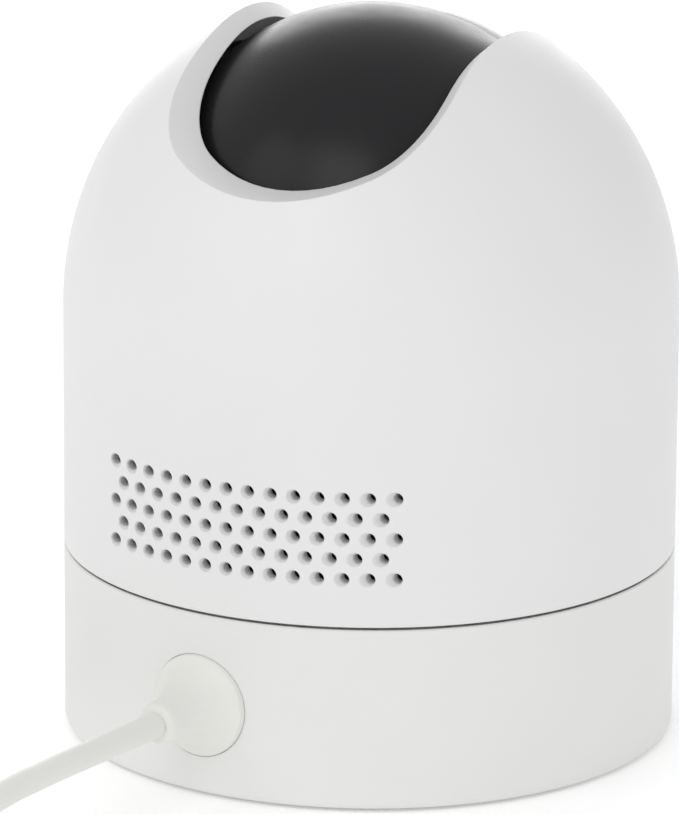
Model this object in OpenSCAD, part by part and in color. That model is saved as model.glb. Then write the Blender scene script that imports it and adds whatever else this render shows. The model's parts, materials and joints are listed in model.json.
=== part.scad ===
// Pan and tilt security camera: a round base, a domed body that turns on it,
// and a dark ball head that tilts in a saddle cut through the dome.
// The lens looks towards -Y at rest, the power lead leaves at the back, +Y.
// The origin is the middle of the face it stands on.

/* [Body] */
// Radius of the base and of the body
body_r = 39.5; // [39:0.1:40]
// Height of the seam between the base and the turning body
seam_z = 24; // [23.9:0.1:24.4]
// Height where the straight side turns into the dome
dome_z = 55.7; // [55:0.1:56.5]
// Radius of the dome's outline
dome_r = 42.2; // [42:0.1:43]
// Thickness of the outer walls
wall = 2; // [1.8:0.1:2.2]

/* [Saddle] */
// Half of the width between the two cheeks, at the ball
saddle_w = 16.2; // [15.8:0.1:16.5]
// Height of the bottom of the saddle behind the ball
saddle_z = 76.8; // [76.5:0.1:77.2]
// How far the solid edge of the saddle reaches out from its rim
saddle_edge = 5; // [4.8:0.1:5.2]
// Radius of the round mouth in front of the lens
mouth_r = 27; // [26.6:0.1:27.5]

/* [Head] */
// Radius of the dark ball
ball_r = 29; // [28.8:0.1:29.1]
// Height of the tilt axis
ball_z = 65.3; // [65:0.1:65.6]
// Gap between the ball and the lip of the saddle
ball_gap = 1.2; // [1:0.1:1.3]
// Distance from the tilt axis to the front of the face ring
face_d = 17.8; // [17.5:0.1:18.2]

/* [Grille] */
// Distance between the speaker holes in a row
grille_pitch = 3; // [2.8:0.1:3.1]
// Diameter of a speaker hole
grille_hole = 1.3; // [1.2:0.1:1.3]
// Diameter of the tapered mouth of a speaker hole
grille_mouth = 1.8; // [1.7:0.1:1.9]
// Depth of the tapered mouth
grille_taper = 0.6; // [0.6:0.1:0.7]
// Height of the middle row of holes
grille_z = 35.8; // [35:0.1:36.5]

/* [Power lead] */
// Angle of the power socket from the back, towards +X
cable_turn = 8; // [6:1:10]
// Height of the plug's centre line
plug_z = 12; // [11.5:0.1:12.5]
// Diameter of the lead
cord_d = 3.3; // [3.2:0.1:3.4]

/* [Hidden] */
$fn = 96;

// Heights in the base
foot_h = 0.4;                        // the rubber pad stands this far out
cover_top = foot_h + 2;
deck_z = seam_z - 2.2;               // underside of the base's top deck
shell_z = seam_z + 0.4;              // the turning shell starts after a fine gap
groove_h = 1;                        // depth of the dark groove inside the base's top rim
table_z = seam_z + 0.8;              // underside of the turntable
table_h = 2;
table_top = table_z + table_h;
hub_r = 11;
hub_bore = 8;
bush_r = 13.5;
running = 0.05;                      // radial clearance of a turning fit

// Pan gearing
gear_module = 0.8;
gear_teeth = 48;
pinion_teeth = 10;
gear_z = 17.5;
gear_h = 3;
gear_gap = 0.15;                     // extra centre distance, so the teeth run free
pinion_x = -(gear_teeth + pinion_teeth) * gear_module / 2 - gear_gap;

// Base fixings
post_at = 32.5;                      // distance of the four screw posts from the middle
post_angles = [45, 135, 225, 315];
button_at = [-9, 19];
boss_at = 33;                        // distance of the three shell bosses
boss_angles = [-90, 30, 150];
board_at = 20;
board_angles = [90, 210, 330];
board_z = 30;

// Head
cavity_r = ball_r + ball_gap;
ball_wall = 1.8;
core_r = 6;
ring_back = 13;                      // distance of the face ring's rear edge from the axis
ring_in = 22.4;
ring_sphere = 29.75;
window_d = 15.6;
window_crown = 300;                  // the window is this slightly domed
led_circle = 15;
saddle_arc = 26;                     // radius of the saddle's shallow bottom
saddle_corner = 9;
slot_angle = 72;                     // the card slot, measured down from the lens axis
head_post_at = 21.4;                 // distance of the head's four screws from the lens axis
lens_r = 6;

// Lead
plug_r = 6.6;
nose_r = 2.6;
nose_at = 49;                        // distance of the boot's nose from the body's axis
coil_x = 38;
coil_y = 104;
coil_mid = 19.6;
coil_columns = 3;
coil_layers = 5;
coil_lift = 0.6;                     // the tie passes under the coil
coil_w = coil_columns * cord_d;
coil_h = coil_layers * cord_d;
tie_t = 0.5;
lead_route = [[6.8, 48.5, 12], [9, 61, 12], [11, 72, 11.9], [13, 82, 11], [14.5, 90, 8.6],
  [15.1, 97, 5.2], [15.1, 104, 2.5]];
tail_route = [[54.4, 100, 18.8], [56.8, 95, 19.4], [60, 87, 18.6], [61.5, 79, 13], [62, 71, 6.4],
  [62, 65, 3.8], [62, 59, 3.2]];
usb_plug_at = [62, 59, 0];

module about_y(d = 0) translate([0, -d, ball_z]) rotate([90, 0, 0]) children();
module about_x(x) translate([x, 0, ball_z]) rotate([0, 90, 0]) children();
module round_the_axis(angles, r) for (a = angles) rotate(a) translate([r, 0, 0]) children();
module tube(r_out, r_in, h) difference() {
  cylinder(r = r_out, h = h);
  translate([0, 0, -1]) cylinder(r = r_in, h = h + 2);
}

// Spur gear with straight-sided teeth, outline only
module gear_2d(teeth) {
  pitch_r = teeth * gear_module / 2;
  root_r = pitch_r - 1.05 * gear_module;
  tip_r = pitch_r + 0.8 * gear_module;
  step = 360 / teeth;
  function at(r, a) = [r * cos(a), r * sin(a)];
  polygon([for (i = [0 : teeth - 1]) each [
    at(root_r, step * (i - 0.32)), at(tip_r, step * (i - 0.12)),
    at(tip_r, step * (i + 0.12)), at(root_r, step * (i + 0.32))]]);
}

// Sweep of a round cord along a list of points
function unit(v) = v / norm(v);
function spline(p, i, t) =
  let (a = p[max(i - 1, 0)], b = p[i], c = p[i + 1], d = p[min(i + 2, len(p) - 1)])
  0.5 * ((2 * b) + (c - a) * t + (2 * a - 5 * b + 4 * c - d) * t * t
  + (3 * b - a - 3 * c + d) * t * t * t);
function smooth_path(p, n) = concat(
  [for (i = [0 : len(p) - 2]) for (k = [0 : n - 1]) spline(p, i, k / n)], [p[len(p) - 1]]);
module swept_cord(points, r, sides = 8) {
  path = smooth_path(points, 2);
  last = len(path) - 1;
  rings = [for (i = [0 : last])
    let (t = unit(path[min(i + 1, last)] - path[max(i - 1, 0)]),
      side = unit(cross(t, [0, 0, 1])), up = cross(side, t))
    for (k = [0 : sides - 1]) path[i] + r * (cos(360 * k / sides) * side + sin(360 * k / sides) * up)];
  walls = [for (i = [0 : last - 1]) for (k = [0 : sides - 1])
    [i * sides + k, i * sides + (k + 1) % sides, (i + 1) * sides + (k + 1) % sides, (i + 1) * sides + k]];
  start = [[for (k = [sides - 1 : -1 : 0]) k]];
  end = [[for (k = [0 : sides - 1]) last * sides + k]];
  polyhedron(rings, concat(walls, start, end));
}

// Half outline of the body, drawn inset from the outer surface. Its middle is left open,
// because the saddle takes the top of the dome away.
module dome_2d(inset, from_z) {
  translate([0, from_z]) square([body_r - inset, dome_z - from_z]);
  intersection() {
    translate([body_r - dome_r, dome_z]) circle(r = dome_r - inset);
    translate([0, dome_z - 0.01]) square([60, 60]);
  }
}
module dome(inset, from_z) rotate_extrude($fn = 128) difference() {
  dome_2d(inset, from_z);
  square([core_r, 120]);
}

// U outline of the saddle: a wide shallow arc with two corner arcs and straight sides
module saddle_2d(half_w, corner, bottom) {
  corner_x = half_w - corner;
  reach = saddle_arc - corner;
  corner_z = bottom + saddle_arc - sqrt(reach * reach - corner_x * corner_x);
  blend_x = saddle_arc * corner_x / reach;
  intersection() {
    translate([0, bottom + saddle_arc]) circle(r = saddle_arc);
    translate([-blend_x, bottom - 1]) square([2 * blend_x, 12]);
  }
  for (s = [-1, 1]) translate([s * corner_x, corner_z]) circle(r = corner);
  translate([-blend_x, bottom + 9]) square([2 * blend_x, 40]);
  translate([-half_w, corner_z]) square([2 * half_w, 40]);
}
// The solid block that the saddle is cut from
module saddle_block() translate([0, 60, 0]) rotate([90, 0, 0])
  linear_extrude(120) saddle_2d(saddle_w + saddle_edge, 11, saddle_z - wall);

// A quarter of the saddle's rim, where the same U outline meets the sphere that the head turns
// in: from the middle of the back, round the corner and up to the top of one cheek
function on_sphere(x, z) = [x, sqrt(cavity_r * cavity_r - x * x - (z - ball_z) * (z - ball_z)), z];
function rim_quarter() =
  let (corner_x = saddle_w - saddle_corner, reach = saddle_arc - saddle_corner,
    turn = asin(corner_x / reach), corner_z = saddle_z + saddle_arc - reach * cos(turn),
    side_r = sqrt(cavity_r * cavity_r - saddle_w * saddle_w),
    lean = acos((corner_z - ball_z) / side_r))
  concat(
    [for (i = [0 : 5]) let (a = turn * i / 6)
      on_sphere(saddle_arc * sin(a), saddle_z + saddle_arc * (1 - cos(a)))],
    [for (i = [0 : 16]) let (a = turn + (90 - turn) * i / 16)
      on_sphere(corner_x + saddle_corner * sin(a), corner_z - saddle_corner * cos(a))],
    [for (i = [1 : 8]) let (a = lean * (1 - i / 8))
      [saddle_w, side_r * sin(a), ball_z + side_r * cos(a)]]);

// The saddle: rays from a point on the body's axis fan out through the rim and shape its lip
module saddle_cut() {
  quarter = rim_quarter();
  half = concat(quarter, [for (i = [len(quarter) - 2 : -1 : 0])
    [quarter[i][0], -quarter[i][1], quarter[i][2]]]);
  rim = concat(half, [for (i = [len(half) - 2 : -1 : 1]) [-half[i][0], half[i][1], half[i][2]]]);
  focus = [0, 0, saddle_z];
  above = [0, 0, 150];
  count = len(rim);
  polyhedron(concat([focus, above], [for (p = rim) focus + 2 * (p - focus)]),
    [for (i = [0 : count - 1]) let (a = i + 2, b = (i + 1) % count + 2)
      each [[0, b, a], [1, a, b]]]);
}

// The round mouth in front of the lens flares towards the outside
module mouth_cut(grow) about_y() rotate_extrude() polygon([
  [0, 12 - grow], [mouth_r + grow, 12 - grow], [mouth_r + grow, 19],
  [mouth_r + 1.2 + grow, 25], [mouth_r + 6 + grow, 42], [0, 42]]);

// Staggered rows of speaker holes, each with a mouth that tapers in from the surface
module grille_holes() {
  row_step = grille_pitch * 0.866;
  slope = (grille_mouth - grille_hole) / grille_taper;
  for (row = [-2 : 2]) {
    count = (abs(row) % 2 == 0) ? 14 : 13;
    for (i = [0 : count - 1]) {
      x = (i - (count - 1) / 2) * grille_pitch;
      z = grille_z + row * row_step;
      surface = sqrt(body_r * body_r - x * x);
      translate([x, 0, z]) rotate([-90, 0, 0]) rotate_extrude($fn = 24) polygon([
        [0, 25], [grille_hole / 2, 25], [grille_hole / 2, surface - grille_taper],
        [grille_mouth / 2, surface], [grille_mouth / 2 + slope, surface + 2], [0, surface + 2]]);
    }
  }
}

// ---- Base ----
module toward_plug() rotate(-cable_turn) translate([0, 0, plug_z]) rotate([-90, 0, 0]) children();

module base_shell() color("#dedfdb") {
  difference() {
    union() {
      difference() {
        rotate_extrude() polygon([[0, foot_h], [body_r - 0.7, foot_h], [body_r - 0.2, foot_h + 0.2],
          [body_r, foot_h + 0.7], [body_r, seam_z - 0.15], [body_r - 0.15, seam_z],
          [body_r - 0.4, seam_z], [body_r - 0.5, seam_z - groove_h], [body_r - 2.3, seam_z - groove_h],
          [body_r - 2.4, seam_z], [0, seam_z]]);
        translate([0, 0, -1]) cylinder(r = body_r - wall, h = deck_z + 1);
      }
      round_the_axis(post_angles, post_at) translate([0, 0, cover_top])
        cylinder(r = 3, h = deck_z - cover_top + 1);
      intersection() {
        toward_plug() translate([0, 0, 34.5]) cylinder(r = plug_r + 1.4, h = 8);
        translate([0, 0, 3]) cylinder(r = body_r - 1, h = 20);
      }
    }
    translate([0, 0, 15]) cylinder(r = bush_r, h = 20);
    round_the_axis(post_angles, post_at) translate([0, 0, cover_top - 1]) cylinder(r = 1.1, h = 12);
    toward_plug() translate([0, 0, 30]) cylinder(r = plug_r + 0.12, h = 20);
  }
}

module base_cover() color("#c9cac7") difference() {
  translate([0, 0, foot_h]) cylinder(r = body_r - wall - 0.1, h = 2);
  translate([0, 0, -1]) cylinder(r = 6.05, h = 6);
  translate([0, 0, foot_h - 1]) tube(28.2, 19.8, 1.6);
  translate([button_at[0], button_at[1], 0]) cylinder(r = 2.1, h = 6, center = true);
  translate([button_at[0], button_at[1], -1]) cylinder(r = 3.2, h = 2);
  round_the_axis(post_angles, post_at) {
    translate([0, 0, -1]) cylinder(r = 1.4, h = 6);
    translate([0, 0, -1]) cylinder(r = 2.3, h = 2.4);
  }
  for (i = [-3 : 3]) translate([i * 3, -14.5, 0]) cube([1.2, 7, 12], center = true);
}

module foot_pad() color("#4a4b4b") difference() {
  tube(28, 20, foot_h + 0.6);
  translate([button_at[0], button_at[1], -1]) cylinder(r = 3.2, h = 4);
}

module tripod_insert() color("#b79a5b") difference() {
  union() {
    translate([0, 0, foot_h + 0.1]) cylinder(r = 6, h = 1.9);
    translate([0, 0, cover_top]) cylinder(r = 5, h = 7);
    translate([0, 0, cover_top]) cylinder(r = 7.5, h = 1.2);
  }
  translate([0, 0, -1]) cylinder(r = 3.175, h = 9);
}

// Screw standing on its head: the head hangs below the origin and has a crossed recess
module screw(shank_r, head_r, head_h, length) {
  difference() {
    translate([0, 0, -head_h]) cylinder(r = head_r, h = head_h);
    for (a = [0, 90]) rotate(a) translate([0, 0, -head_h])
      cube([head_r * 1.1, head_r * 0.28, head_h * 1.2], center = true);
  }
  cylinder(r = shank_r, h = length);
}

module base_screws() color("#8c8d8f")
  round_the_axis(post_angles, post_at) translate([0, 0, foot_h + 1]) screw(1.1, 2.1, 0.9, 10);

module ballast_plate() color("#9a9c9e") difference() {
  translate([0, 0, cover_top + 0.1]) cylinder(r = 28.6, h = 2.9);
  cylinder(r = 8, h = 20, center = true);
  translate([button_at[0], button_at[1], 0]) cylinder(r = 3.6, h = 20, center = true);
}

module power_board() color("#1f5a38") rotate(-cable_turn) difference() {
  translate([-15, 14.5, 8.9]) cube([30, 17.5, 1.5]);
  for (s = [-1, 1]) translate([s * 12.5, 17, 5]) cylinder(r = 1.2, h = 9);
}

module usb_socket() color("#b8babc") rotate(-cable_turn) difference() {
  translate([-3.8, 26.5, 10.4]) cube([7.6, 7.4, 3.1]);
  translate([-3.45, 28, 10.9]) cube([6.9, 8, 2.2]);
}

module reset_switch() color("#2b2c2e") translate([button_at[0], button_at[1], 0]) {
  translate([-2.6, -2.6, 6.6]) cube([5.2, 5.2, 2.3]);
  translate([0, 0, 6.0]) cylinder(r = 1.2, h = 0.7);
}

module reset_button() color("#6f7172") translate([button_at[0], button_at[1], 0]) {
  translate([0, 0, 0.9]) cylinder(r = 1.9, h = 3.8);
  translate([0, 0, cover_top + 0.1]) cylinder(r = 2.8, h = 0.7);
}

module reset_spring() color("#a9abad") translate([button_at[0], button_at[1], 0]) {
  translate([0, 0, 3.3]) tube(2.7, 2.2, 3.2);
}

module pan_motor() color("#b4b6b8") translate([pinion_x, 0, 0]) difference() {
  union() {
    translate([0, 0, 5.5]) cylinder(r = 10, h = 10.9);
    translate([0, 0, 15.6]) cylinder(r = 4.4, h = 1.5);
    for (s = [-1, 1]) translate([0, s * 13, 15.9]) {
      cylinder(r = 2.6, h = 0.6);
      translate([-2.6, s > 0 ? -6 : 0, 0]) cube([5.2, 6, 0.6]);
    }
  }
  translate([0, 0, 9]) cylinder(r = 1.5 + running, h = 12);
  for (s = [-1, 1]) translate([0, s * 13, 15]) cylinder(r = 1.3, h = 3);
}

module pan_pinion() color("#d8d4c4") translate([pinion_x, 0, 0]) {
  translate([0, 0, gear_z]) rotate(180 / pinion_teeth) linear_extrude(gear_h) gear_2d(pinion_teeth);
  translate([0, 0, 9.4]) cylinder(r = 1.5, h = gear_z + gear_h - 9.2);
}

module pan_bush() color("#e8e4d6") difference() {
  union() {
    translate([0, 0, deck_z - 0.6]) cylinder(r = bush_r, h = seam_z - deck_z + 0.7);
    translate([0, 0, seam_z]) cylinder(r = bush_r + 3, h = table_z - seam_z - 0.1);
  }
  cylinder(r = hub_r + running, h = 60, center = true);
}

// ---- Turning body ----
module turntable() color("#cfd0cc") difference() {
  union() {
    translate([0, 0, 16.2]) cylinder(r = hub_r, h = table_z - 16.2 + 0.5);
    translate([0, 0, table_z]) cylinder(r = body_r - wall - 0.1, h = table_h);
    round_the_axis(board_angles, board_at) translate([0, 0, table_top - 0.1])
      cylinder(r = 2.6, h = board_z - table_top + 0.1);
  }
  translate([0, 0, 10]) cylinder(r = hub_bore, h = 30);
  round_the_axis(boss_angles, boss_at) {
    translate([0, 0, 20]) cylinder(r = 1.3, h = 10);
    translate([0, 0, 20]) cylinder(r = 2.3, h = table_z - 20 + 1.2);
  }
  round_the_axis(board_angles, board_at) translate([0, 0, table_top]) cylinder(r = 0.9, h = 10);
}

module pan_gear() color("#ddd9ca") translate([0, 0, gear_z]) difference() {
  linear_extrude(gear_h) gear_2d(gear_teeth);
  translate([0, 0, -1]) cylinder(r = hub_r, h = gear_h + 2);
}

module hub_clip() color("#9fa1a3") translate([0, 0, 16.4]) difference() {
  tube(13, hub_r, 1);
  translate([0, -3, -1]) cube([20, 6, 4]);
}

module body_shell() color("#e6e7e8") difference() {
  union() {
    difference() {
      dome(0, shell_z);
      difference() {
        dome(wall, shell_z - 1);
        saddle_block();
        mouth_cut(wall);
      }
    }
    intersection() {
      round_the_axis(boss_angles, boss_at) translate([-1, 0, table_top]) {
        cylinder(r = 2.8, h = 6);
        translate([0, -1.2, 0]) cube([8, 2.4, 6]);
      }
      cylinder(r = body_r - 1, h = 60);
    }
  }
  saddle_cut();
  mouth_cut(0);
  translate([0, 0, ball_z]) sphere(r = cavity_r);
  grille_holes();
  round_the_axis(boss_angles, boss_at) translate([0, 0, table_top - 1]) cylinder(r = 1, h = 6);
}

module body_screws() color("#8c8d8f")
  round_the_axis(boss_angles, boss_at) translate([0, 0, table_z + 1.2]) screw(1, 2.1, 1, 5.5);

module main_board() color("#1d5433") difference() {
  translate([0, 0, board_z]) cylinder(r = 29, h = 1.4);
  translate([0, 0, board_z - 1]) cylinder(r = 7, h = 4);
  round_the_axis(board_angles, board_at) translate([0, 0, board_z - 1]) cylinder(r = 1.2, h = 4);
  for (s = [-1, 1]) translate([s * 30, 0, board_z]) cube([6, 17, 6], center = true);
}

module processor_shield() color("#b9bbbd") translate([0, 0, board_z + 1.4]) {
  translate([-25, -10, 0]) cube([16, 20, 2.2]);
  translate([10, -9, 0]) cube([14, 14, 1.8]);
}

module wifi_antenna() color("#c08a3e") rotate(-18) translate([0, 0, 40])
  rotate_extrude(angle = 36) translate([body_r - wall - 0.9, 0]) square([0.6, 12]);

module speaker() color("#26272a") translate([0, 30.2, 38.6]) rotate([-90, 0, 0]) difference() {
  union() {
    cylinder(r = 11, h = 4.8);
    translate([0, 0, -0.6]) cylinder(r = 6.5, h = 1);
  }
  translate([0, 0, 4.2]) cylinder(r = 9.8, h = 2);
  translate([0, 0, 13.2]) sphere(r = 11.4);
}

// Acoustic felt on the inside of the wall, behind most of the speaker holes
module speaker_felt() color("#17181a") rotate(90 - 19) translate([0, 0, grille_z - 7.5])
  rotate_extrude(angle = 46) translate([body_r - wall - 0.4, 0]) square([0.35, 15]);

module speaker_bracket() color("#e9eaea") {
  translate([0, 30.6, 38.6]) rotate([-90, 0, 0]) difference() {
    tube(12.6, 11.05, 3.8);
    translate([0, 18, 0]) cube([40, 12.6, 20], center = true);
  }
  translate([-1.2, 35.05, table_top]) cube([4, 1.1, 22.5]);
  translate([-9, 31, table_top]) cube([18, 5.15, 0.6]);
}

module yoke(right) {
  bore = right ? 2.5 : 4.5;
  mirror([right ? 0 : 1, 0, 0]) difference() {
    union() {
      translate([30.6, -7, table_top]) cube([2.8, 14, ball_z - table_top]);
      about_x(30.6) cylinder(r = 7, h = 2.8);
      translate([25, -7, table_top]) cube([8.4, 14, 2]);
    }
    about_x(29) cylinder(r = bore, h = 6);
    translate([32, 0, ball_z - 22]) cube([6, 8, 14], center = true);
  }
}
module yoke_left() color("#c4c6c6") yoke(false);
module yoke_right() color("#c4c6c6") yoke(true);

module tilt_bush() color("#e8e4d6") difference() {
  union() {
    about_x(-33.6) cylinder(r = 4.5, h = 3.5);
    about_x(-30.6) cylinder(r = 5.8, h = 0.8);
  }
  about_x(-36) cylinder(r = 3 + running, h = 8);
}

module tilt_shaft() color("#a4a6a9") difference() {
  about_x(17) cylinder(r = 2.5, h = 16.4);
  translate([32.4, -3, ball_z + 1.7]) cube([4, 6, 4]);
}

module head_cable() color("#3a3b3d") {
  about_x(-35.1) cylinder(r = 0.9, h = 15);
  translate([-35.1, 0, board_z + 4]) cylinder(r = 0.9, h = ball_z - board_z - 4);
  translate([-35.1, 0, ball_z]) sphere(r = 0.9);
}

module pan_cable() color("#3a3b3d") translate([2, 0, 13]) {
  for (x = [-2, 0, 2]) translate([x, 0, 0]) cylinder(r = 0.8, h = board_z - 13);
  translate([-3.5, -1.6, -2]) cube([7, 3.2, 2]);
}

// ---- Tilting head ----
module head_rear_shell() color("#2b2c2e") difference() {
  union() {
    difference() {
      translate([0, 0, ball_z]) sphere(r = ball_r, $fn = 128);
      translate([0, 0, ball_z]) sphere(r = ball_r - ball_wall);
    }
    intersection() {
      translate([0, 0, ball_z]) sphere(r = ball_r - 0.8);
      about_y() round_the_axis(post_angles, head_post_at) translate([0, 0, 3]) {
        cylinder(r = 2.4, h = 6);
        translate([0, -1, 0]) cube([8, 2, 6]);
      }
    }
  }
  translate([-40, -60, 0]) cube([80, 60 - ring_back + 0.1, 120]);
  about_x(-40) cylinder(r = 3, h = 40);
  about_x(0) cylinder(r = 3.2, h = 40);
  translate([0, 0, ball_z]) rotate([slot_angle, 0, 0]) translate([-6, -40, -0.7]) cube([12, 20, 1.4]);
  about_y() round_the_axis(post_angles, head_post_at) translate([0, 0, 4]) cylinder(r = 0.9, h = 8);
}

module face_ring() color("#cfd1d2") about_y() rotate_extrude($fn = 128) {
  intersection() {
    circle(r = ring_sphere);
    polygon([[ring_in, ring_back], [25.5, ring_back], [25.95, ring_back + 0.2],
      [26.14, ring_back + 0.5], [26.14, ring_back + 1.2], [27.2, ring_back + 1.2], [27.2, face_d - 1.6],
      [ring_in + 1.4, face_d], [ring_in + 0.5, face_d], [ring_in, face_d - 0.5]]);
  }
  translate([ring_in, 11.6]) square([1.1, ring_back - 11.5]);
}

module face_window() color("#141517") about_y() difference() {
  rotate_extrude($fn = 128) intersection() {
    translate([0, face_d - 0.3 - window_crown]) circle(r = window_crown, $fn = 360);
    translate([0, window_d]) square([ring_in - 0.05, 6]);
  }
  translate([0, 0, 10]) cylinder(r = 8.4, h = 12);
  translate([0, led_circle, 10]) cylinder(r = 0.5, h = 12);
  translate([0, -led_circle, 10]) cylinder(r = 1.1, h = 12);
}

module lens_trim() color("#37383b") about_y() rotate_extrude()
  polygon([[7.4, 13.4], [8.35, 13.4], [8.35, 17.55], [9.4, 17.55], [9.6, 18.2], [9.2, 18.9],
    [8.6, 19.1], [7.4, 17.6]]);

module lens_barrel() color("#1b1c1e") about_y() rotate_extrude() polygon([[0, 4.6], [lens_r, 4.6],
  [lens_r, 12], [7.3, 12], [7.3, 17.4], [5.6, 16.2], [5.0, 14.6], [0, 14.6]]);

module lens_glass() color("#20262e") about_y() rotate_extrude() intersection() {
  translate([0, 9]) circle(r = 8.4);
  translate([0, 14.6]) square([4.95, 4]);
}

module lens_holder() color("#202123") about_y() difference() {
  translate([-7.5, -7.5, 2.7]) cube([15, 15, 6.2]);
  translate([0, 0, 4.6]) cylinder(r = lens_r, h = 6);
  translate([0, 0, 2]) cylinder(r = 4.7, h = 4);
}

module sensor_board() color("#1d5433") about_y() {
  translate([-18, -14, 1]) cube([27, 28, 1.4]);
  translate([-3.2, -3.2, 2.4]) cube([6.4, 6.4, 0.6]);
}

module ir_board() color("#e4e5e3") about_y(12) {
  difference() {
    cylinder(r = 21, h = 1.2);
    translate([0, 0, -1]) cylinder(r = 10, h = 4);
  }
}

module ir_leds() color("#d9d6b8") about_y(13.2) for (a = [22.5 : 45 : 359]) rotate(a)
  translate([led_circle, 0, 0]) {
    translate([-1.4, -1.4, 0]) cube([2.8, 2.8, 0.8]);
    intersection() {
      translate([0, 0, 0.3]) sphere(r = 1.3, $fn = 32);
      translate([0, 0, 0.7]) cylinder(r = 1.4, h = 2);
    }
  }

module light_sensor() color("#8f8a80") about_y(13.2) translate([led_circle, 0, 0])
  cylinder(r = 1.2, h = 1.4);

module status_light() color("#cfe3ea") about_y(13.2) translate([0, -led_circle, 0])
  cylinder(r = 1.05, h = 4.1);

module microphone() color("#a8aaac") about_y(13.2) translate([-1.5, led_circle - 1.5, 0])
  cube([3, 3, 1.6]);

module head_frame() color("#3a3b3d") {
  about_y() difference() {
    translate([0, 0, 9.1]) cylinder(r = 24.4, h = 1.4);
    translate([0, 0, 8]) cylinder(r = 7.5, h = 6);
    round_the_axis(post_angles, head_post_at) translate([0, 0, 8]) cylinder(r = 1.3, h = 4);
  }
  about_y() for (a = [0, 90, 180, 270]) rotate(a) translate([18.5, 0, 10.4]) cylinder(r = 1.6, h = 1.6);
  about_x(10.6) difference() {
    translate([-12, -9.6, 0]) cube([24, 21, 1.2]);
    translate([0, 0, -1]) cylinder(r = 3, h = 4);
  }
}

module tilt_motor() color("#b4b6b8") difference() {
  union() {
    about_x(11.9) cylinder(r = 8.5, h = 10.2);
    about_x(22) cylinder(r = 4.2, h = 1.4);
  }
  about_x(16.9) cylinder(r = 2.5 + running, h = 16);
}

module tilt_axle() color("#a4a6a9") difference() {
  union() {
    about_x(-33.4) cylinder(r = 3, h = 9);
    about_x(-26) cylinder(r = 6, h = 1.8);
  }
  about_x(-36) cylinder(r = 1.6, h = 14);
}

module card_socket() color("#b8babc") translate([0, 0, ball_z]) rotate([slot_angle, 0, 0]) difference() {
  translate([-7, -25.6, -1.1]) cube([14, 12, 2.2]);
  translate([-5.7, -27, -0.45]) cube([11.4, 12, 0.9]);
}

module head_screws() color("#8c8d8f") about_y() round_the_axis(post_angles, head_post_at)
  translate([0, 0, 10.5]) rotate([180, 0, 0]) screw(0.9, 1.7, 1, 6);

// ---- Power lead ----
module plug_boot() color("#e2e3e0") toward_plug() difference() {
  rotate_extrude() difference() {
    translate([0, 34]) square([plug_r, nose_at - 34]);
    translate([nose_r + 5.6, body_r + 8.6]) scale([1, 1.55]) circle(r = 5.6);
    translate([nose_r, body_r + 8.6]) square([10, 20]);
    translate([plug_r - 0.9, body_r - 0.05]) square([10, 20]);
  }
  translate([-3.4, -0.85, 30]) cube([6.8, 1.7, 6]);
}

module plug_tip() color("#c3c5c6") toward_plug() {
  translate([-3.4, -0.85, 28.6]) cube([6.8, 1.7, 7.4]);
}

module power_cord() color("#dcdcd8") swept_cord(lead_route, cord_d / 2);

module cord_coil() color("#dcdcd8") translate([coil_x, coil_y, coil_lift])
  rotate_extrude() translate([coil_mid - coil_w / 2, 0]) square([coil_w, coil_h]);

module coil_tie() color("#3c3d3f") translate([coil_x, coil_y + coil_mid, 0]) difference() {
  translate([-4, -coil_w / 2 - tie_t, 0.05]) cube([8, coil_w + 2 * tie_t, coil_h + coil_lift + tie_t]);
  translate([-6, -coil_w / 2 - 0.1, coil_lift]) cube([12, coil_w + 0.2, coil_h]);
}

module cord_tail() color("#dcdcd8") swept_cord(tail_route, cord_d / 2);

module usb_plug_body() color("#dcdcd8") translate(usb_plug_at) rotate(180) {
  translate([-7.5, 8, 0]) cube([15, 20, 7]);
  translate([0, 0, 3.2]) rotate([-90, 0, 0]) cylinder(r = 2.6, h = 9);
}

module usb_plug_shell() color("#c3c5c6") translate(usb_plug_at) rotate(180) difference() {
  translate([-6, 28, 1.25]) cube([12, 12, 4.5]);
  translate([-5.6, 30, 1.65]) cube([11.2, 12, 1.9]);
}

base_shell();
base_cover();
foot_pad();
tripod_insert();
base_screws();
ballast_plate();
power_board();
usb_socket();
reset_switch();
reset_button();
reset_spring();
pan_motor();
pan_pinion();
pan_bush();
turntable();
pan_gear();
hub_clip();
body_shell();
body_screws();
main_board();
processor_shield();
wifi_antenna();
speaker();
speaker_felt();
speaker_bracket();
yoke_left();
yoke_right();
tilt_bush();
tilt_shaft();
head_cable();
pan_cable();
head_rear_shell();
face_ring();
face_window();
lens_trim();
lens_glass();
lens_barrel();
lens_holder();
sensor_board();
ir_board();
ir_leds();
light_sensor();
status_light();
microphone();
head_frame();
tilt_motor();
tilt_axle();
card_socket();
head_screws();
plug_boot();
plug_tip();
power_cord();
cord_coil();
coil_tie();
cord_tail();
usb_plug_body();
usb_plug_shell();
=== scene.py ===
# %% [markdown]
# # A pan and tilt security camera
# A round base stands on a table. A domed white body turns on it, and a dark ball head tilts in a
# saddle cut through the dome. The design is already packed as a frame of named nodes, in metres,
# standing on z = 0 with the lens looking towards -Y. This lesson adds the looks around it:
# the lead, the finer mouldings, the optics and a material for every surface.

# %% Load the frame
import json
import math
import bmesh
import bpy
from mathutils import Matrix, Vector


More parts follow.
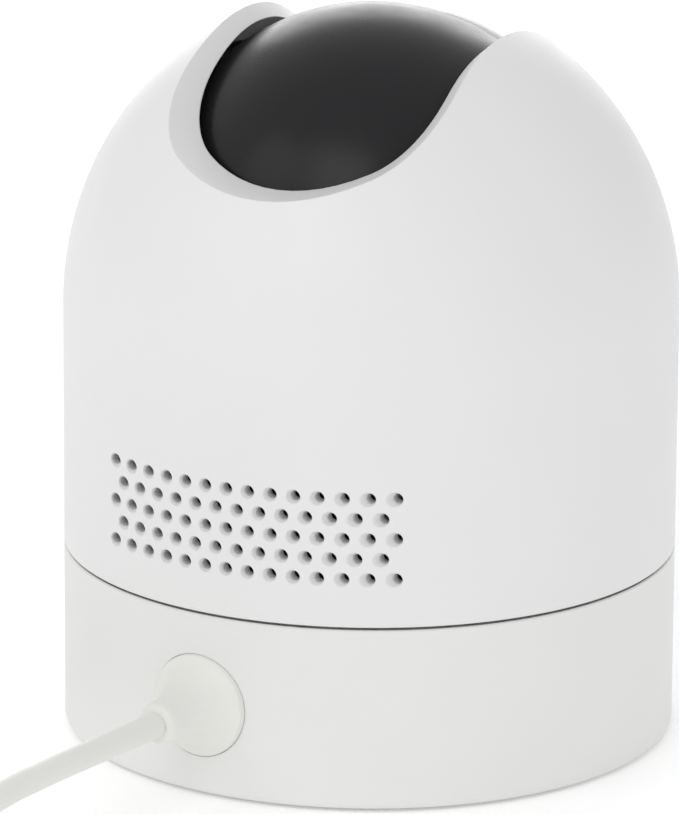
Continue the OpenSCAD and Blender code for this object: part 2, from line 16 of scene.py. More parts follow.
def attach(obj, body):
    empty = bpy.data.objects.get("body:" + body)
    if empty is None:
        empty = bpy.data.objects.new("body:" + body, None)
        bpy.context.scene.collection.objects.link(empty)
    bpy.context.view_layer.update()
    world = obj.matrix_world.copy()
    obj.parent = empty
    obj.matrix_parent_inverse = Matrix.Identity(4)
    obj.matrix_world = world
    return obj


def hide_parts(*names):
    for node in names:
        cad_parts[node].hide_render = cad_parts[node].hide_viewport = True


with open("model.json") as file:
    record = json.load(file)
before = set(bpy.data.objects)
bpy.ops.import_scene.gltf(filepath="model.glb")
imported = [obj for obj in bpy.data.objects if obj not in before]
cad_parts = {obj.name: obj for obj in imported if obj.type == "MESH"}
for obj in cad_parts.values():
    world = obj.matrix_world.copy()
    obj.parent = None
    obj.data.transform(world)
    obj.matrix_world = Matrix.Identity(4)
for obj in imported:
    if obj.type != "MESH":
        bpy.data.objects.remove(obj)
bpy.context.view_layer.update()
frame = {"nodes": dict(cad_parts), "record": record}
nodes = frame["nodes"]
MM = 0.001

# %% [markdown]
# ## Camera
# The view is from behind and a little above, from almost a metre away with a long lens, which is
# how a product is shot so that its sides stay upright. The camera is placed by its distance and
# its angle round the object, and then tipped down, because those are the numbers a
# photographer would change.

# %% The camera
CAMERA_AZIMUTH = math.radians(204.79)    # 0 is in front of the lens, 180 is behind
CAMERA_PLAN = 0.8819
CAMERA_HEIGHT = 0.29816
CAMERA_SWING = math.radians(0.26)
CAMERA_TIP = math.radians(-16.23)
CAMERA_ROLL = math.radians(0.36)
LENS_MM = 315.4

camera = bpy.data.objects.new("camera", bpy.data.cameras.new("camera"))
bpy.context.scene.collection.objects.link(camera)
camera.data.lens = LENS_MM
camera.data.sensor_width = 36
camera.data.clip_end = 20
camera_spot = Vector((math.sin(CAMERA_AZIMUTH) * CAMERA_PLAN,
                      -math.cos(CAMERA_AZIMUTH) * CAMERA_PLAN, CAMERA_HEIGHT))
camera.matrix_world = (
    Matrix.Translation(camera_spot)
    @ Matrix.Rotation(CAMERA_AZIMUTH + CAMERA_SWING, 4, "Z")
    @ Matrix.Rotation(math.pi / 2 + CAMERA_TIP, 4, "X")
    @ Matrix.Rotation(CAMERA_ROLL, 4, "Z"))
bpy.context.scene.camera = camera
print("camera at", [round(c, 3) for c in camera_spot])

# %% [markdown]
# ## Helpers for colour and materials
# Colours are picked as sRGB hex values, as in any paint program, but a shader works in linear
# light, so one function converts them. Another adds a node, sets its values and links its inputs
# in one call, which keeps each material down to a few readable lines.

# %% Colour and node helpers
def linear(hex_colour):
    """Turns '#rrggbb' into the linear red, green, blue and alpha that a shader uses."""
    values = [int(hex_colour[i:i + 2], 16) / 255 for i in (1, 3, 5)]
    return tuple(v / 12.92 if v <= 0.04045 else ((v + 0.055) / 1.055) ** 2.4 for v in values) + (1,)


def add_node(tree, kind, settings=None, **inputs):
    """Adds a node. settings are its own properties; inputs are socket values or sockets to link."""
    node = tree.nodes.new("ShaderNode" + kind)
    for name, value in (settings or {}).items():
        setattr(node, name, value)
    for name, value in inputs.items():
        key = int(name[1:]) if name[0] == "_" else name.replace("_", " ")
        if isinstance(value, bpy.types.NodeSocket):
            tree.links.new(value, node.inputs[key])
        else:
            node.inputs[key].default_value = value
    return node


def new_material(name):
    """An empty material with its node tree and its Object coordinates."""
    material = bpy.data.materials.new(name)
    material.use_nodes = True
    tree = material.node_tree
    tree.nodes.clear()
    spot = add_node(tree, "TexCoord").outputs["Object"]
    return material, tree, spot


def finish_material(material, tree, **inputs):
    """Adds the surface shader and the output, and hands the material back."""
    shader = add_node(tree, "BsdfPrincipled", **inputs)
    add_node(tree, "OutputMaterial", Surface=shader.outputs["BSDF"])
    return material

print("helpers ready")

# %% [markdown]
# ## Moulded plastic
# Most of the camera is injection-moulded ABS. Its mould is spark-eroded to a very fine grain, so
# it has a satin sheen: a grain that only breaks up the highlights, a slow mottling where the melt
# cooled unevenly, and slightly glossier patches where hands rub it. A single roughness would look
# like paint on glass, so noise drives all three. No moulded edge is truly sharp either. The Bevel
# node rounds the light on every edge, so the thin white line of a real rim shows up.

# %% Moulded plastic finish
def moulded_plastic(name, colour, shade, roughness, grain_mm=0.22, grain_depth_mm=0.003,
                    specular=0.5, polish=0.05, edge_mm=0.2):
    """colour and shade are close sRGB values that the mottling moves between."""
    material, tree, spot = new_material(name)
    mottle = add_node(tree, "TexNoise", Vector=spot, Scale=1 / (18 * MM), Detail=3.0, Roughness=0.55)
    tint = add_node(tree, "Mix", {"data_type": "RGBA"}, Factor=mottle.outputs["Fac"],
                    A=linear(colour), B=linear(shade))
    rub = add_node(tree, "TexNoise", Vector=spot, Scale=1 / (7 * MM), Detail=4.0, Roughness=0.6)
    gloss = add_node(tree, "MapRange", Value=rub.outputs["Fac"], From_Min=0.3, From_Max=0.7,
                     To_Min=roughness - polish, To_Max=roughness + polish)
    grain = add_node(tree, "TexNoise", Vector=spot, Scale=1 / (grain_mm * MM), Detail=2.0)
    edge = add_node(tree, "Bevel", {"samples": 6}, Radius=edge_mm * MM)
    bump = add_node(tree, "Bump", Strength=1.0, Distance=grain_depth_mm * MM,
                    Height=grain.outputs["Fac"], Normal=edge.outputs["Normal"])
    return finish_material(material, tree, Base_Color=tint.outputs["Result"],
                           Roughness=gloss.outputs["Result"], IOR=1.54,
                           Specular_IOR_Level=specular, Normal=bump.outputs["Normal"])


abs_white = moulded_plastic("abs_satin_white", "#E6E6E6", "#E3E3E3", 0.42)
abs_warm = moulded_plastic("abs_warm_white", "#E6E6E5", "#E2E2E0", 0.45)
abs_black = moulded_plastic("abs_satin_black", "#1C1C1F", "#18181A", 0.3, specular=0.22,
                            grain_mm=0.16, grain_depth_mm=0.001)
abs_ring = moulded_plastic("abs_ring_grey", "#DCDEDF", "#D8DADB", 0.34)
abs_cover = moulded_plastic("abs_textured_grey", "#C8C9C6", "#C2C3C0", 0.55, grain_mm=0.5,
                            grain_depth_mm=0.02)
abs_yoke = moulded_plastic("abs_natural_grey", "#C6C8C8", "#BFC1C1", 0.5, grain_depth_mm=0.006)
nylon_frame = moulded_plastic("glass_filled_nylon", "#2E2F31", "#262729", 0.6, grain_mm=0.4,
                              grain_depth_mm=0.03)
acetal = moulded_plastic("acetal_bearing", "#E6E1D2", "#DFDACB", 0.38, grain_depth_mm=0.004)
lens_black = moulded_plastic("lens_mount_black", "#131315", "#0F0F11", 0.5, specular=0.3,
                             grain_mm=0.12, grain_depth_mm=0.006, edge_mm=0.1)
pvc_white = moulded_plastic("pvc_soft_white", "#E7E7E3", "#E3E3DE", 0.5, grain_mm=0.3,
                            grain_depth_mm=0.006)
pvc_wire = moulded_plastic("wire_insulation_black", "#1B1B1D", "#222224", 0.45)
silicone = moulded_plastic("silicone_rubber_grey", "#4A4B4B", "#434444", 0.75, specular=0.35,
                           grain_mm=0.3, grain_depth_mm=0.02)
print("moulded plastics ready")

# %% [markdown]
# ## Polished and clear parts
# The lens looks out through a smoked acrylic window, polished like piano lacquer, so its finish
# is all in the reflections: a low roughness that fine wipe marks break up. The lens has an
# anti-reflection coating a few hundred nanometres thick, which tints its reflections violet and
# green, and the thin film inputs give exactly that. The small lights have clear epoxy domes.

# %% Window, lens and light pipes
def polished(name, colour, roughness, ior, haze_mm, **extra):
    """A smooth clear-coated surface with faint wipe marks haze_mm apart."""
    material, tree, spot = new_material(name)
    stretched = add_node(tree, "Mapping", Vector=spot, Scale=(1, 1, 4))
    wipe = add_node(tree, "TexNoise", Vector=stretched.outputs["Vector"], Scale=1 / (haze_mm * MM),
                    Detail=5.0, Roughness=0.6)
    marks = add_node(tree, "MapRange", Value=wipe.outputs["Fac"], From_Min=0.45, From_Max=0.75,
                     To_Min=roughness, To_Max=roughness + 0.07)
    edge = add_node(tree, "Bevel", {"samples": 6}, Radius=0.12 * MM)
    return finish_material(material, tree, Base_Color=linear(colour),
                           Roughness=marks.outputs["Result"], IOR=ior,
                           Normal=edge.outputs["Normal"], **extra)


acrylic_smoked = polished("acrylic_smoked_black", "#0B0B0D", 0.05, 1.49, 6)
lens_coated = polished("coated_lens_glass", "#0A0D18", 0.02, 1.6, 2, Thin_Film_Thickness=420.0,
                       Thin_Film_IOR=1.38, Coat_Weight=0.6)
epoxy_clear = polished("clear_epoxy", "#D8D3B4", 0.08, 1.5, 1, Transmission_Weight=0.5)
pipe_clear = polished("frosted_light_pipe", "#DDEBEF", 0.25, 1.49, 1, Transmission_Weight=0.3)
film_amber = polished("polyimide_film", "#B9742A", 0.3, 1.7, 3)
print("clear parts ready")

# %% [markdown]
# ## Metals
# Screws, shafts and clips are zinc-plated steel, motor cans are pressed and tin-plated, and the
# tripod insert is turned brass. Plating is never even, so a fine noise varies the roughness, and
# the turned parts have faint tool rings from a wave of real pitch. A metal keeps the default IOR:
# its colour is its reflectance.

# %% Plated and turned metal
def plated_metal(name, colour, shade, roughness, spangle_mm=0.8, ring_mm=None):
    """Plating with spangles spangle_mm across, and tool rings ring_mm apart if it was turned."""
    material, tree, spot = new_material(name)
    spangle = add_node(tree, "TexVoronoi", Vector=spot, Scale=1 / (spangle_mm * MM))
    tint = add_node(tree, "Mix", {"data_type": "RGBA"}, Factor=spangle.outputs["Color"],
                    A=linear(colour), B=linear(shade))
    smear = add_node(tree, "TexNoise", Vector=spot, Scale=1 / (1.5 * MM), Detail=4.0)
    gloss = add_node(tree, "MapRange", Value=smear.outputs["Fac"], From_Min=0.3, From_Max=0.7,
                     To_Min=roughness - 0.06, To_Max=roughness + 0.08)
    edge = add_node(tree, "Bevel", {"samples": 6}, Radius=0.12 * MM)
    normal = edge
    if ring_mm:
        rings = add_node(tree, "TexWave", {"wave_type": "RINGS", "rings_direction": "Z"},
                         Vector=spot, Scale=0.31 / (ring_mm * MM))
        normal = add_node(tree, "Bump", Strength=0.4, Distance=0.02 * MM,
                          Height=rings.outputs["Fac"], Normal=edge.outputs["Normal"])
    return finish_material(material, tree, Base_Color=tint.outputs["Result"], Metallic=1.0,
                           Roughness=gloss.outputs["Result"], Normal=normal.outputs["Normal"])


steel_zinc = plated_metal("zinc_plated_steel", "#A5A7A9", "#9A9C9E", 0.36)
steel_can = plated_metal("pressed_motor_can", "#B9BBBD", "#AEB0B2", 0.3, spangle_mm=2.5)
steel_tin = plated_metal("tin_plated_steel", "#C3C5C6", "#B8BABB", 0.28, spangle_mm=1.5)
steel_nickel = plated_metal("nickel_plated_steel", "#CFD0D0", "#C6C7C7", 0.2)
brass_turned = plated_metal("turned_brass", "#C4A15A", "#B8944E", 0.28, ring_mm=0.3)
gold_contact = plated_metal("gold_contact", "#D9B45B", "#CFA950", 0.25)
print("metals ready")

# %% [markdown]
# ## Circuit boards, felt and the speaker
# A board is fibreglass under solder mask. The copper below shows as slightly lighter lanes, which
# cells measured by city-block distance imitate, and the soldered pads are small bright spots.
# The felt behind the grille and the paper cone hardly reflect at all: sheen lifts their edges.

# %% Boards and soft fibres
def circuit_board(name, mask, lane, pad):
    """Solder mask with lanes of copper under it and bright soldered pads."""
    material, tree, spot = new_material(name)
    lanes = add_node(tree, "TexVoronoi", {"distance": "MANHATTAN", "feature": "F1"}, Vector=spot,
                     Scale=1 / (2.4 * MM))
    lane_mask = add_node(tree, "MapRange", Value=lanes.outputs["Distance"], From_Min=0.28,
                         From_Max=0.3)
    pads = add_node(tree, "TexVoronoi", Vector=spot, Scale=1 / (1.9 * MM))
    pad_mask = add_node(tree, "MapRange", Value=pads.outputs["Distance"], From_Min=0.16,
                        From_Max=0.14)
    lane_mix = add_node(tree, "Mix", {"data_type": "RGBA"}, Factor=lane_mask.outputs["Result"],
                        A=linear(lane), B=linear(mask))
    pad_mix = add_node(tree, "Mix", {"data_type": "RGBA"}, Factor=pad_mask.outputs["Result"],
                       A=lane_mix.outputs["Result"], B=linear(pad))
    gloss = add_node(tree, "MapRange", Value=pad_mask.outputs["Result"], To_Min=0.35, To_Max=0.22)
    bump = add_node(tree, "Bump", Strength=0.5, Distance=0.03 * MM,
                    Height=lane_mask.outputs["Result"])
    return finish_material(material, tree, Base_Color=pad_mix.outputs["Result"],
                           Metallic=pad_mask.outputs["Result"], Roughness=gloss.outputs["Result"],
                           Normal=bump.outputs["Normal"])


def fibrous(name, colour, shade, fibre_mm, depth_mm, stretch):
    """Felt, paper or a brushed strap: matted fibres fibre_mm apart, with a soft sheen."""
    material, tree, spot = new_material(name)
    turned = add_node(tree, "Mapping", Vector=spot, Scale=stretch)
    fibre = add_node(tree, "TexNoise", Vector=turned.outputs["Vector"],
                     Scale=1 / (fibre_mm * MM), Detail=6.0, Roughness=0.7, Distortion=1.2)
    tint = add_node(tree, "Mix", {"data_type": "RGBA"}, Factor=fibre.outputs["Fac"],
                    A=linear(colour), B=linear(shade))
    dust = add_node(tree, "MapRange", Value=fibre.outputs["Fac"], To_Min=0.8, To_Max=0.98)
    bump = add_node(tree, "Bump", Strength=0.8, Distance=depth_mm * MM, Height=fibre.outputs["Fac"])
    return finish_material(material, tree, Base_Color=tint.outputs["Result"], Sheen_Weight=0.2,
                           Sheen_Roughness=0.5, Specular_IOR_Level=0.1,
                           Roughness=dust.outputs["Result"], Normal=bump.outputs["Normal"])


board_green = circuit_board("solder_mask_green", "#12402A", "#1D5A3B", "#C9CBC8")
board_white = circuit_board("solder_mask_white", "#E2E3E1", "#D3D4D1", "#C4C6C3")
felt_black = fibrous("acoustic_felt", "#0A0A0B", "#141416", 0.3, 0.15, (1, 1, 1))
cone_paper = fibrous("coated_paper_cone", "#1C1D1F", "#27282A", 0.4, 0.05, (1, 1, 3))
strap_fibre = fibrous("brushed_nylon_strap", "#2B2C2E", "#47484B", 0.5, 0.2, (1, 3, 3))
print("boards and fibres ready")

# %% [markdown]
# ## Floor, light and sky
# Catalogue pictures of white goods are taken on a light table: a sheet of white acrylic lit from
# behind, which wipes out most of the shadow. So the floor glows a little. A soft key panel stands
# above and beside the camera, which makes the middle of the dome brighter than its sides, and a
# weaker one further round puts a soft spot low on the ball. A larger one stands low on the far
# side and draws a bright line along the top of the black ball. The studio's white walls fill in
# the rest. The backdrop is pure white, and the walls that light the object are a little darker.

# %% Floor and lights
BACKDROP, WALLS, TABLE_GLOW = 1.0, 0.77, 0.17
AIM_HEIGHT = 0.05                        # the panels point at the middle of the object


def make_floor(half=6.0):
    """A glowing light table that reaches half metres each way."""
    bm = bmesh.new()
    bmesh.ops.create_grid(bm, x_segments=2, y_segments=2, size=half)
    mesh = bpy.data.meshes.new("light_table")
    bm.to_mesh(mesh)
    bm.free()
    table = bpy.data.objects.new("light_table", mesh)
    bpy.context.scene.collection.objects.link(table)
    material, tree, spot = new_material("white_acrylic_table")
    haze = add_node(tree, "TexNoise", Vector=spot, Scale=1 / (40 * MM), Detail=3.0)
    tint = add_node(tree, "Mix", {"data_type": "RGBA"}, Factor=haze.outputs["Fac"],
                    A=linear("#FAFAFA"), B=linear("#F8F8F8"))
    mesh.materials.append(finish_material(
        material, tree, Base_Color=tint.outputs["Result"], Roughness=0.9,
        Emission_Color=linear("#FFFFFF"), Emission_Strength=TABLE_GLOW))


def make_panel(name, azimuth, elevation, distance, size, power):
    """A soft box aimed at the object. Azimuth 0 is in front of the lens, 180 behind it."""
    turn, rise = math.radians(azimuth), math.radians(elevation)
    spot = Vector((math.sin(turn) * math.cos(rise), -math.cos(turn) * math.cos(rise),
                   math.sin(rise))) * distance
    light = bpy.data.objects.new(name, bpy.data.lights.new(name, "AREA"))
    bpy.context.scene.collection.objects.link(light)
    light.data.shape = "SQUARE"
    light.data.size = size
    light.data.energy = power
    light.visible_camera = False
    aim = Vector((0, 0, AIM_HEIGHT)) - spot
    facing = aim.to_track_quat("-Z", "Y").to_matrix().to_4x4()
    light.matrix_world = Matrix.Translation(spot) @ facing


def make_sky():
    sky = bpy.data.worlds.new("white_studio")
    sky.use_nodes = True
    tree = sky.node_tree
    tree.nodes.clear()
    seen = add_node(tree, "LightPath").outputs["Is Camera Ray"]
    level = add_node(tree, "MapRange", Value=seen, To_Min=WALLS, To_Max=BACKDROP)
    walls = add_node(tree, "Background", Color=linear("#FFFFFF"), Strength=level.outputs["Result"])
    add_node(tree, "OutputWorld", Surface=walls.outputs["Background"])
    return sky


make_floor()
bpy.context.scene.world = make_sky()
make_panel("key_panel", 184, 40, 1.6, 0.8, 3.4)
make_panel("side_panel", 142, 35, 1.6, 0.7, 1.6)
make_panel("rim_panel", 25, 12, 2.0, 1.5, 14)
bpy.context.scene.view_settings.view_transform = "Standard"
print("stage ready")

# %% [markdown]
# ## The lead
# A USB lead 1.9 m long and 3.3 mm thick, in soft PVC. It leaves the boot level, droops to the
# table and is wound into a neat round coil held by a nylon strap. The stretches before and after
# the coil are short lists of points in mm; the coil is a loop, turn by turn: each column of turns
# climbs or descends, and then the lead steps in by one diameter to start the next column.

# %% The lead's route
CORD_D = 3.3
COIL_X, COIL_Y = 38, 104
COIL_MID = 19.6
COIL_COLUMNS, COIL_LAYERS = 3, 5
COIL_LIFT = 0.6
POINTS_PER_TURN = 16
STEP_SHARE = 0.25                        # the part of a turn in which the lead changes place
LEAD_IN = [(6.8, 48.5, 12), (7.9, 55, 12), (9, 61, 12), (10, 66.5, 12), (11, 72, 11.9),
           (12.1, 77, 11.6), (13, 82, 11), (13.8, 86, 9.9), (14.5, 90, 8.6), (14.9, 93.5, 6.9),
           (15.1, 97, 5.2), (15.1, 100.5, 3.4)]
LEAD_OUT = [(54.3, 104, 15.45), (55.2, 99.5, 17.3), (56.8, 95, 18.9), (58.6, 90.5, 19.4),
            (60.2, 86, 18.2), (61.3, 81.5, 15), (61.9, 77, 11), (62, 72.5, 7.3), (62, 68, 4.6),
            (62, 63.5, 3.4), (62, 59, 3.2)]


def coil_route():
    """Points in millimetres round the coil, clockwise from its -X side."""
    slots = []
    for column in range(COIL_COLUMNS):
        layers = range(COIL_LAYERS) if column % 2 == 0 else range(COIL_LAYERS - 1, -1, -1)
        slots += [(COIL_MID + (1 - column) * CORD_D, COIL_LIFT + (layer + 0.5) * CORD_D)
                  for layer in layers]
    points = []
    for turn, (radius, height) in enumerate(slots):
        after = slots[min(turn + 1, len(slots) - 1)]
        count = POINTS_PER_TURN if turn < len(slots) - 1 else POINTS_PER_TURN // 2
        for k in range(count):
            share = k / POINTS_PER_TURN
            blend = max(0.0, (share - 1 + STEP_SHARE) / STEP_SHARE)
            blend = blend * blend * (3 - 2 * blend)
            r = radius + (after[0] - radius) * blend
            z = height + (after[1] - height) * blend
            angle = math.pi - 2 * math.pi * share
            points.append((COIL_X + r * math.cos(angle), COIL_Y + r * math.sin(angle), z))
    return points


route = LEAD_IN + coil_route() + LEAD_OUT
route_m = [Vector(p) * MM for p in route]
lead_length = sum((b - a).length for a, b in zip(route_m, route_m[1:]))
print("lead:", len(route), "points,", round(lead_length, 3), "m")

# %% The lead itself
def make_lead(points, radius):
    curve = bpy.data.curves.new("power_lead", "CURVE")
    curve.dimensions = "3D"
    spline = curve.splines.new("BEZIER")
    spline.bezier_points.add(len(points) - 1)
    for point, place in zip(spline.bezier_points, points):
        point.co = place
        point.handle_left_type = point.handle_right_type = "AUTO"
    curve.bevel_depth = radius
    curve.bevel_resolution = 5
    curve.resolution_u = 4
    curve.use_fill_caps = True
    lead = bpy.data.objects.new("power_lead", curve)
    bpy.context.scene.collection.objects.link(lead)
    curve.materials.append(pvc_white)
    return lead


lead = make_lead(route_m, CORD_D * MM / 2)
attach(lead, "root")
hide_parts("power_cord", "cord_coil", "cord_tail")

# %% [markdown]
# ## Round mouldings by spinning
# The boot that the lead leaves by, and the strain relief on the far plug, are round, so half
# their outline is drawn once and spun. The full turn is merged where it closes, the doubles on
# the axis are merged too, and only then do the normals face outwards for certain.

# %% Pieces from a bmesh
def finish_piece(name, bm, material, sharp=40):
    """Turns a bmesh in metres into an object that rides on the base, with smooth shading."""
    bmesh.ops.remove_doubles(bm, verts=bm.verts, dist=0.002 * MM)
    bmesh.ops.recalc_face_normals(bm, faces=bm.faces)
    mesh = bpy.data.meshes.new(name)
    bm.to_mesh(mesh)
    bm.free()
    for face in mesh.polygons:
        face.use_smooth = True
    mesh.set_sharp_from_angle(angle=math.radians(sharp))
    mesh.materials.append(material)
    piece = bpy.data.objects.new(name, mesh)
    bpy.context.scene.collection.objects.link(piece)
    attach(piece, "root")
    print(name, len(mesh.polygons), "faces")
    return piece


def spin_outline(outline, place, steps=72):
    """Spins (radius, distance) points in mm round a line. place takes +Z to that line."""
    bm = bmesh.new()
    verts = [bm.verts.new((radius * MM, 0, along * MM)) for radius, along in outline]
    edges = [bm.edges.new(pair) for pair in zip(verts, verts[1:])]
    bmesh.ops.spin(bm, geom=verts + edges, cent=(0, 0, 0), axis=(0, 0, 1), angle=2 * math.pi,
                   steps=steps, use_merge=True)
    bmesh.ops.transform(bm, matrix=place, verts=bm.verts)
    return bm

# %% [markdown]
# The boot is one soft PVC moulding: a disc that sits flush in the socket, and a trumpet that
# narrows from the disc's rim to a short nose round the lead. The trumpet's hollow curve is an
# exponential, fast at the disc and slow at the nose, which is how such reliefs spread a bend.

# %% The boot at the camera
PLUG_TURN, PLUG_Z = math.radians(8), 12
DISC_R, NOSE_R, DISC_AT, NOSE_AT = 6.66, 2.55, 39.5, 49.0
ROOT_AT = 35                             # the disc's inner end, inside the socket
FLARE = 2.6                              # the distance in which the trumpet loses most width
TRUMPET_AT, TRUMPET_R = DISC_AT + 0.35, DISC_R - 0.45
TRUMPET_L, TRUMPET_STEPS = NOSE_AT - DISC_AT - 0.9, 12

trumpet = []
for step in range(TRUMPET_STEPS + 1):
    along = TRUMPET_AT + TRUMPET_L * step / TRUMPET_STEPS
    fall = math.exp((TRUMPET_AT - along) / FLARE)
    trumpet.append((NOSE_R + (TRUMPET_R - NOSE_R) * fall, along))
boot_outline = [(0, ROOT_AT), (DISC_R, ROOT_AT), (DISC_R, DISC_AT), (DISC_R - 0.15, DISC_AT + 0.25)]
grip_r = CORD_D / 2 - 0.15               # the nose is moulded tight onto the lead
boot_outline += trumpet + [(NOSE_R - 0.1, NOSE_AT - 0.2), (NOSE_R - 0.4, NOSE_AT),
                           (grip_r, NOSE_AT), (grip_r, NOSE_AT - 2), (0, NOSE_AT - 2)]
out_of_back = (Matrix.Translation((0, 0, PLUG_Z * MM)) @ Matrix.Rotation(-PLUG_TURN, 4, "Z")
               @ Matrix.Rotation(-math.pi / 2, 4, "X"))
boot = finish_piece("lead_boot", spin_outline(boot_outline, out_of_back), pvc_white)
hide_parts("plug_boot")

# %% [markdown]
# The far plug is a USB-A plug: a soft overmould with a thumb rest on each side, a strain relief
# with three grooves, and a folded steel shell with two square windows, round a white tongue with
# four contacts. A box is bevelled twice for the overmould, first its long corners and then all
# that is left, because a real moulding has a larger radius round its outline than over its edge.

# %% The far plug's overmould
PLUG_X, PLUG_Y = 62, 59                  # where the lead meets the far plug, which points to -Y
BODY_W, BODY_L, BODY_H, BODY_START = 15, 20, 7, 8


def box(low, high):
    """A bmesh box between two corners in mm."""
    bm = bmesh.new()
    bmesh.ops.create_cube(bm, size=1)
    size = [b - a for a, b in zip(low, high)]
    bmesh.ops.scale(bm, vec=[v * MM for v in size], verts=bm.verts)
    bmesh.ops.translate(bm, vec=[(a + b) / 2 * MM for a, b in zip(low, high)], verts=bm.verts)
    return bm


def bevel(bm, edges, width_mm, segments):
    """Rounds edges; the profile is a quarter circle."""
    bmesh.ops.bevel(bm, geom=edges, offset=width_mm * MM, affect="EDGES", segments=segments,
                    profile=0.5, material=-1)


overmould = box((PLUG_X - BODY_W / 2, PLUG_Y - BODY_START - BODY_L, 0),
                (PLUG_X + BODY_W / 2, PLUG_Y - BODY_START, BODY_H))
upright = [e for e in overmould.edges if abs(e.verts[0].co.z - e.verts[1].co.z) > MM]
bevel(overmould, upright, 2.2, 5)
flats = [f for f in overmould.faces if abs(f.normal.z) > 0.9]
bmesh.ops.inset_region(overmould, faces=flats, thickness=1.6 * MM, depth=0)
bmesh.ops.inset_region(overmould, faces=flats, thickness=0.5 * MM, depth=-0.35 * MM)
rim = [e for e in overmould.edges if len(e.link_faces) == 2 and e.calc_face_angle() > 1.2]
bevel(overmould, rim, 0.6, 3)
overmould = finish_piece("far_plug_overmould", overmould, pvc_white, sharp=60)
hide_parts("usb_plug_body")

# %% Its strain relief
relief_outline = [(0, 7.5), (3.1, 7.5), (3.1, 7.9), (2.9, 8.1)]
for groove in range(3):
    start = 8.4 + 2.4 * groove
    radius = 2.85 - 0.15 * groove
    relief_outline += [(radius, start), (radius - 0.02, start + 1.3), (radius - 0.5, start + 1.5),
                       (radius - 0.52, start + 2.1)]
relief_outline += [(2.35, 15.8), (2.3, 16.6), (2.1, 16.9), (CORD_D / 2, 16.9), (0, 16.9)]
at_far_plug = (Matrix.Translation((PLUG_X * MM, (PLUG_Y - 16.5) * MM, 3.2 * MM))
               @ Matrix.Rotation(-math.pi / 2, 4, "X"))
finish_piece("far_plug_relief", spin_outline(relief_outline, at_far_plug, steps=40), pvc_white)

# %% Its steel shell
SHELL_W, SHELL_L, SHELL_LOW, SHELL_HIGH = 12, 12, 1.25, 5.75
shell_y = PLUG_Y - BODY_START - BODY_L
shell = box((PLUG_X - SHELL_W / 2, shell_y - SHELL_L, SHELL_LOW),
            (PLUG_X + SHELL_W / 2, shell_y, SHELL_HIGH))
bevel(shell, [e for e in shell.edges if abs(e.verts[0].co.y - e.verts[1].co.y) > MM], 0.5, 3)
mouth = [f for f in shell.faces if f.normal.y < -0.9]
bmesh.ops.delete(shell, geom=mouth, context="FACES")
for x in (-3.7, -1.5, 1.5, 3.7):
    bmesh.ops.bisect_plane(shell, geom=shell.verts[:] + shell.edges[:] + shell.faces[:],
                           plane_co=((PLUG_X + x) * MM, 0, 0), plane_no=(1, 0, 0))
for y in (-8, -5.8):
    bmesh.ops.bisect_plane(shell, geom=shell.verts[:] + shell.edges[:] + shell.faces[:],
                           plane_co=(0, (shell_y + y) * MM, 0), plane_no=(0, 1, 0))
windows = [f for f in shell.faces if abs(f.normal.z) > 0.9
           and 1.6 * MM < abs(f.calc_center_median().x - PLUG_X * MM) < 3.6 * MM
           and -7.9 * MM < f.calc_center_median().y - shell_y * MM < -5.9 * MM]
bmesh.ops.delete(shell, geom=windows, context="FACES")
bmesh.ops.recalc_face_normals(shell, faces=shell.faces)
bmesh.ops.solidify(shell, geom=shell.faces[:], thickness=0.3 * MM)
shell = finish_piece("far_plug_shell", shell, steel_nickel, sharp=30)
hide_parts("usb_plug_shell")

# %% Its tongue and contacts
tongue = box((PLUG_X - 5.5, shell_y - 11.4, 3.6), (PLUG_X + 5.5, shell_y - 0.5, 5.4))
bevel(tongue, tongue.edges[:], 0.15, 2)
finish_piece("far_plug_tongue", tongue, acetal)
contacts = bmesh.new()
for x in (-3.5, -1.2, 1.2, 3.5):
    strip = box((PLUG_X + x - 0.5, shell_y - 10.9, 3.5), (PLUG_X + x + 0.5, shell_y - 3, 3.7))
    bevel(strip, strip.edges[:], 0.05, 1)
    part = bpy.data.meshes.new("contact")
    strip.to_mesh(part)
    strip.free()
    contacts.from_mesh(part)
    bpy.data.meshes.remove(part)
finish_piece("far_plug_contacts", contacts, gold_contact)

# %% [markdown]
# The coil is held by a brushed nylon strap, wrapped once round all the turns and pressed down on
# itself. Its section is a rectangle with rounded corners, drawn once, stretched along the turns
# and given its thickness, and the free end is a second layer that lies on the first.

# %% The strap round the coil
STRAP_W, STRAP_T = 8, 0.45
COIL_W, COIL_H = COIL_COLUMNS * CORD_D, COIL_LAYERS * CORD_D


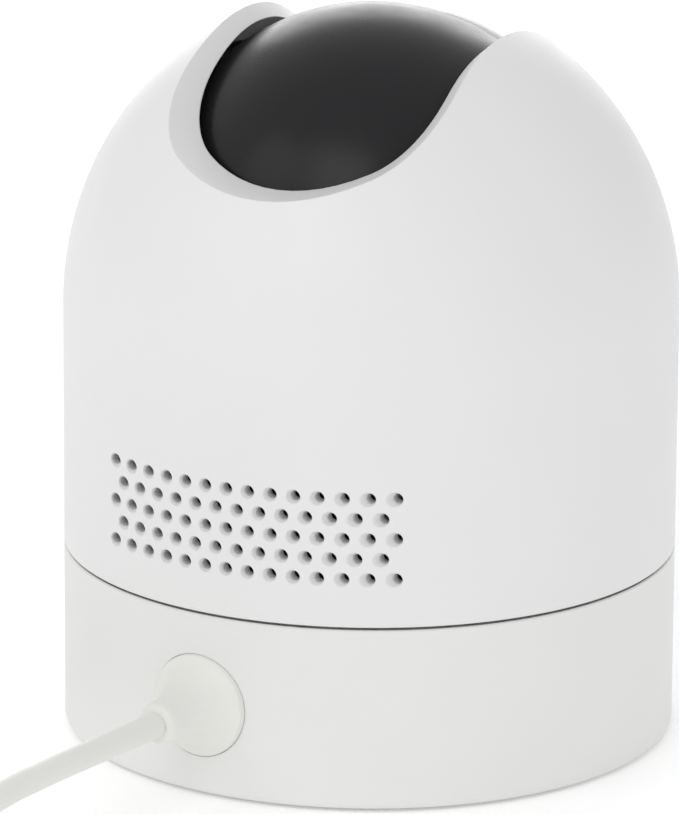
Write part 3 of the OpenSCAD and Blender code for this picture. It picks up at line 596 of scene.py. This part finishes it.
def strap_layer(gap, thickness, low=None, outer_only=False):
    """A loop of strap gap mm off the turns. outer_only keeps its outer side above low."""
    middle_y, middle_z = COIL_Y + COIL_MID, COIL_LIFT + COIL_H / 2
    layer = box((COIL_X - STRAP_W / 2, middle_y - COIL_W / 2 - gap, COIL_LIFT - gap),
                (COIL_X + STRAP_W / 2, middle_y + COIL_W / 2 + gap, COIL_LIFT + COIL_H + gap))
    along = [e for e in layer.edges if abs(e.verts[0].co.x - e.verts[1].co.x) > MM]
    bmesh.ops.delete(layer, geom=[f for f in layer.faces if abs(f.normal.x) > 0.9], context="FACES")
    bevel(layer, along, 1.1, 5)
    if outer_only:
        drop = [f for f in layer.faces if f.calc_center_median().y < middle_y * MM
                or f.normal.y < 0.9]
        bmesh.ops.delete(layer, geom=drop, context="FACES")
        for vert in layer.verts:
            if vert.co.z < middle_z * MM:
                vert.co.z = low * MM
    bmesh.ops.recalc_face_normals(layer, faces=layer.faces)
    bmesh.ops.solidify(layer, geom=layer.faces[:], thickness=-thickness * MM)
    return layer


strap = strap_layer(0.05, 0.4)
strap = finish_piece("coil_strap", strap, strap_fibre, sharp=50)
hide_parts("coil_tie")
strap_end = strap_layer(0.46, 0.35, low=5, outer_only=True)
bevel(strap_end, [e for e in strap_end.edges if len(e.link_faces) == 2], 0.1, 2)
finish_piece("coil_strap_end", strap_end, strap_fibre, sharp=50)

# %% [markdown]

print("lead and its pieces ready")

# %% [markdown]
# ## A finish for every part of the design
# The design names a material slot for each of its parts, so the finishes are handed out by slot.
# The parts inside are finished too, because they show through the gaps and when it is taken apart.

# %% Finishes by slot
SLOT_FINISH = {
    "shell_white": abs_white, "base_white": abs_warm, "ball_black": abs_black,
    "ring_grey": abs_ring, "cover_grey": abs_cover, "plug_white": pvc_white,
    "cord_white": pvc_white, "window_black": acrylic_smoked, "glass": lens_coated,
    "lens_black": lens_black, "frame_plastic": nylon_frame, "yoke_plastic": abs_yoke,
    "bearing_plastic": acetal, "rubber": silicone, "brass": brass_turned, "steel": steel_zinc,
    "motor_steel": steel_can, "shield_steel": steel_tin, "plug_steel": steel_nickel,
    "board_green": board_green, "board_white": board_white, "antenna_copper": film_amber,
    "speaker_black": cone_paper, "felt_black": felt_black, "led_yellow": epoxy_clear,
    "light_pipe": pipe_clear, "cable_black": pvc_wire, "tie_dark": strap_fibre}
slot_of = {part["node"]: part["material_slot"] for part in frame["record"]["subparts"]}
for name, node in nodes.items():
    node.data.materials.clear()
    node.data.materials.append(SLOT_FINISH[slot_of[name]])
print("finished", len(nodes), "nodes with", len(SLOT_FINISH), "finishes")
